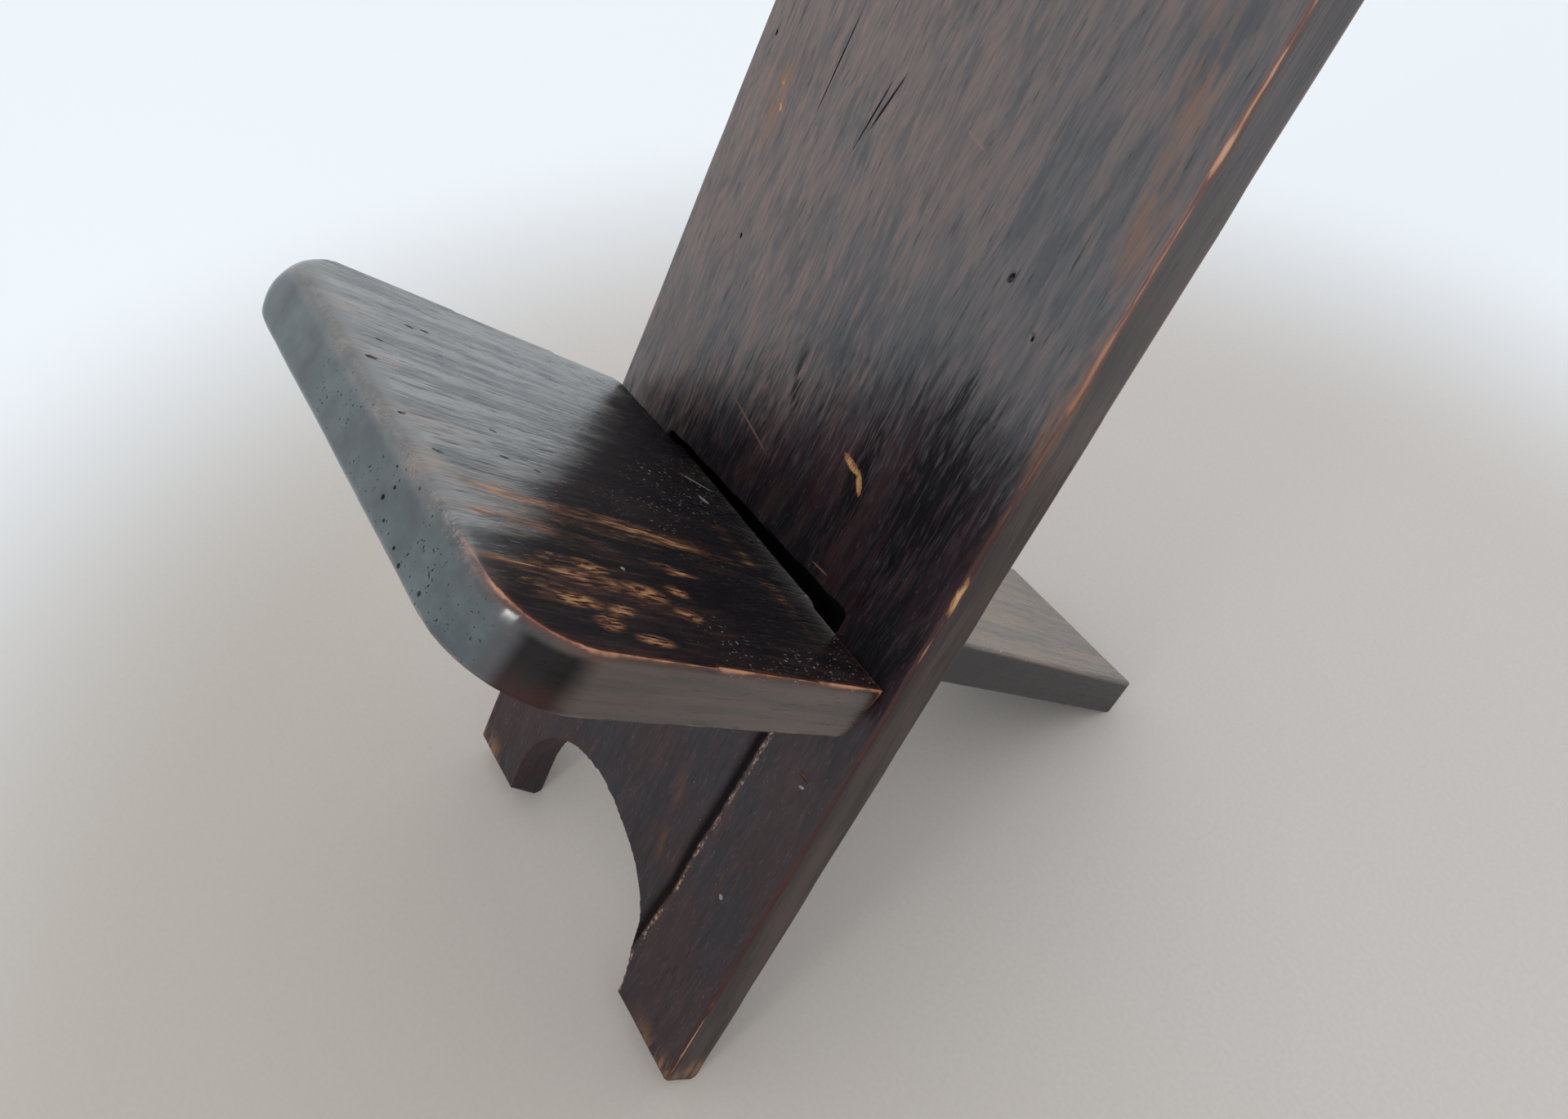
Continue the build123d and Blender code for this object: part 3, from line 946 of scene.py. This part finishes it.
def seat_wear(wood, colour):
    """The right arris rubbed red and gold, then pits, and flecks of dust where the seat is scratched."""
    right = wood.x.ramp(70, 112)
    upper = wood.z.ramp(-14, -9)
    inner = wood.arris + (wood.streaks - 0.5) * 0.9 + (wood.ragged - 0.5) * 0.5
    inner = inner.ramp(0.0, 0.45) * upper
    colour = (inner * right * 0.85).shade(colour, ARRIS_BROWN)
    patchy = wood.flat.grain(14, 14, 17, detail=4)
    wear = (wood.arris + (patchy - 0.5) * 0.7).ramp(0.44, 0.78)
    red_gold = patchy.ramp(0.36, 0.58).shade(ARRIS_RED, ARRIS_GOLD)
    colour = (wear * (0.35 + 0.65 * upper) * right).shade(colour, red_gold)
    colour = wood.spots(SEAT_PITS).shade(colour, SOOT)
    pitted = wood.flat.grain(1.8, 1.8, 23, detail=1).ramp(0.66, 0.70) * wood.mottle.ramp(0.46, 0.54)
    wood.pitted = pitted.most(wood.holes(SEAT_END_PITS)) * wood.end * wood.x.ramp(-80, -20)
    colour = (wood.pitted * 0.65).shade(colour, SOOT)
    scratched = wood.x.ramp(-80, -20) * wood.y.ramp(-150, -60) * wood.clouds.ramp(0.42, 0.58)
    flecks = wood.flat.grain(1.2, 2.8, 21, detail=0).ramp(0.72, 0.78) * scratched
    colour = (flecks * 0.7 * wood.top).shade(colour, DUST)
    return (wood.spots(SEAT_DUST) * 0.7).shade(colour, DUST)


def seat_wood(turn, where):
    """The seat plank's finish: a high polish at the front end and left, dull black elsewhere, with painted
    black shade where the tongue lies in the mortise and a painted dark reflection on the right front
    corner.
    """
    wood = Wood("seat_wood", turn, where)
    wood.bands = wood.along.grain(7, 120, 13, detail=3)
    wood.streaks = wood.along.grain(2.4, 34, 14, detail=3, roughness=0.6)
    wood.hair = wood.along.grain(0.9, 14, 15)
    wood.clouds = wood.flat.grain(40, 70, 16, detail=3)
    wood.mottle = wood.flat.grain(20, 20, 18, detail=5, roughness=0.6)
    wood.fine = wood.streaks * 0.5 + wood.hair * 0.5
    colour = seat_stain(wood)
    colour = seat_rubbed(wood, colour)
    colour = seat_wear(wood, colour)

    # Painted dark reflection: past its highlight the right front corner is painted black, red-brown low
    # down, and made matt, for a dark part of the room mirrored there; the stain there is also a little
    # darker.
    corner = wood.x + wood.y + 121
    corner = corner.ramp(33, 44) * corner.ramp(84, 66) * wood.x.ramp(98, 108) * wood.z.ramp(-2, -7)
    colour = (corner * 0.9).shade(colour, wood.z.ramp(-14, -34).shade(SOOT, DARK_REFLECTION_RED))
    # Painted shade: the stretch of the tongue that lies in the mortise is painted black and made matt, for
    # the shade inside the slot.
    inside = wood.y.ramp(1, 4) * wood.y.ramp(40, 34)
    front_end = wood.y.ramp(-200, -212)
    grain_shows = (wood.streaks - 0.5) * 0.35 + wood.streak * 0.15
    roughness = 0.27 + grain_shows * (1 - front_end) + (wood.clouds - 0.5) * 0.15
    roughness = roughness - 0.04 * front_end
    relief = (0.45 + 0.55 * wood.left) * (1 - 0.92 * front_end)
    height = (wood.streaks * 0.30 + wood.hair * 0.20 - wood.pores * 0.12) * relief
    raw = corner * 0.8 + inside + wood.tail * wood.z.ramp(-2, -5) * 0.35
    raw = raw + wood.pitted * 0.8 + wood.end * wood.mottle.ramp(0.75, 0.25) * 0.15
    raw = raw + (1 - wood.left) * wood.top * wood.y.ramp(10, 0) * 0.4
    return wood.finish(inside.shade(colour, SOOT), roughness, height, SEAT_POLISH, raw)


join = back_foot + Vector((0, JOIN * math.sin(LEAN), JOIN * math.cos(LEAN)))
seat = new_seat()
tongue = new_tongue(join.z)
finish_with(seat, "BOOLEAN", operation="UNION", solver="EXACT", object=tongue)
bpy.data.objects.remove(tongue)
tail_toe = (join.z - SEAT_THICKNESS * math.cos(SLOPE)) / math.sin(SLOPE)
end_turn = SLOPE - TAIL_LEAN
tail_end = tail_toe + TAIL_SOLE * (math.cos(SLOPE) + math.sin(SLOPE) * math.tan(end_turn))
saw(seat, (0, tail_end, -SEAT_THICKNESS), (0, math.cos(end_turn), math.sin(end_turn)))
finish_with(seat, "REMESH", mode="VOXEL", voxel_size=0.0014)
finish_with(seat, "SMOOTH", factor=0.5, iterations=3)
mark_arrises(seat, rounds=14)
soften_front(seat)
dome_corner(seat)
hand_hewn(seat, depth=0.0006, along=0.12, across=0.05)
hand_hewn(seat, depth=0.0002, along=0.03, across=0.012)
finish_with(seat, "DECIMATE", ratio=0.43)
chip_out(seat, SEAT_PITS, depth=0.0018)
place(seat, -SLOPE, join)
saw(seat, (0, 0, 0), (0, 0, -1))
bpy.ops.object.shade_smooth()
seat.data.materials.append(seat_wood(-SLOPE, join))
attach(seat, "seat_plank")
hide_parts("seat_plank")


# ---------------------------------------------------------------------------------- floor, light, camera
# A plain floor, warm grey under the chair and paler further out, under a white sky. One window-sized
# lamp stands low in front, and the camera is above the right front corner.
FLOOR_SHADED_FRONT = (0.520, 0.462, 0.405)
FLOOR_LIT_REAR = (0.620, 0.560, 0.512)
FLOOR_GRIT = (0.300, 0.290, 0.280)
FLOOR_FAR = (0.93, 0.94, 0.95)
FLOOR_MIDDLE = (0.15, 0.10, 0)
WINDOW_PLACE = (0.70, -2.37, 1.38)
WINDOW_FACES = Vector((0, -0.2, 0.4))
SKY = (0.9, 0.95, 1, 1)
LENS = 25.943
CAMERA_PLACE = (0.3810, back_foot.y - 0.0912, 0.7440)
CAMERA_TURN = (43.569, -2.175, 58.011)

bpy.ops.mesh.primitive_plane_add(size=12, location=(0, 0, 0))
floor = bpy.context.object
floor.name = "floor"
matt = bpy.data.materials.new("matt_floor")
matt.use_nodes = True
matt.node_tree.nodes.clear()
start = Field(matt.node_tree)
ground = start.node("TexCoord", {}, out="Object")
grit = start.node("TexNoise", {"Vector": ground, "Scale": 300, "Detail": 3})
to_rear = start.node("SeparateXYZ", {0: ground}, out="Y")
# Painted light: the floor is painted darker at the front and paler to the rear, for light that falls more
# on the rear; the fade to near white further out is the backdrop.
paint = to_rear.ramp(-0.40, 0.30).shade(FLOOR_SHADED_FRONT, FLOOR_LIT_REAR)
paint = (grit.ramp(0.3, 0.7) * 0.08).shade(paint, FLOOR_GRIT)
outwards = start.node("VectorMath", {0: ground, 1: FLOOR_MIDDLE}, operation="DISTANCE", out="Value")
paint = outwards.ramp(0.62, 1.20).shade(paint, FLOOR_FAR)
coat = paint.node("BsdfPrincipled", {"Base Color": paint, "Roughness": 0.75, "Specular IOR Level": 0.3})
coat.node("OutputMaterial", {"Surface": coat})
floor.data.materials.append(matt)

window = bpy.data.lights.new("window", "AREA")
window.shape = "RECTANGLE"
window.size = 0.35
window.size_y = 0.50
window.energy = 8
lamp = bpy.data.objects.new("window", window)
bpy.context.scene.collection.objects.link(lamp)
lamp.location = WINDOW_PLACE
lamp.rotation_euler = (WINDOW_FACES - lamp.location).to_track_quat("-Z", "Y").to_euler()

camera = bpy.data.objects.new("camera", bpy.data.cameras.new("camera"))
bpy.context.scene.collection.objects.link(camera)
bpy.context.scene.camera = camera
camera.data.sensor_width = 36
camera.data.lens = LENS
camera.data.clip_start = 0.01
camera.location = CAMERA_PLACE
camera.rotation_euler = [math.radians(angle) for angle in CAMERA_TURN]

world = bpy.data.worlds.new("room")
bpy.context.scene.world = world
world.use_nodes = True
world.node_tree.nodes["Background"].inputs["Color"].default_value = SKY
bpy.context.scene.view_settings.view_transform = "Standard"
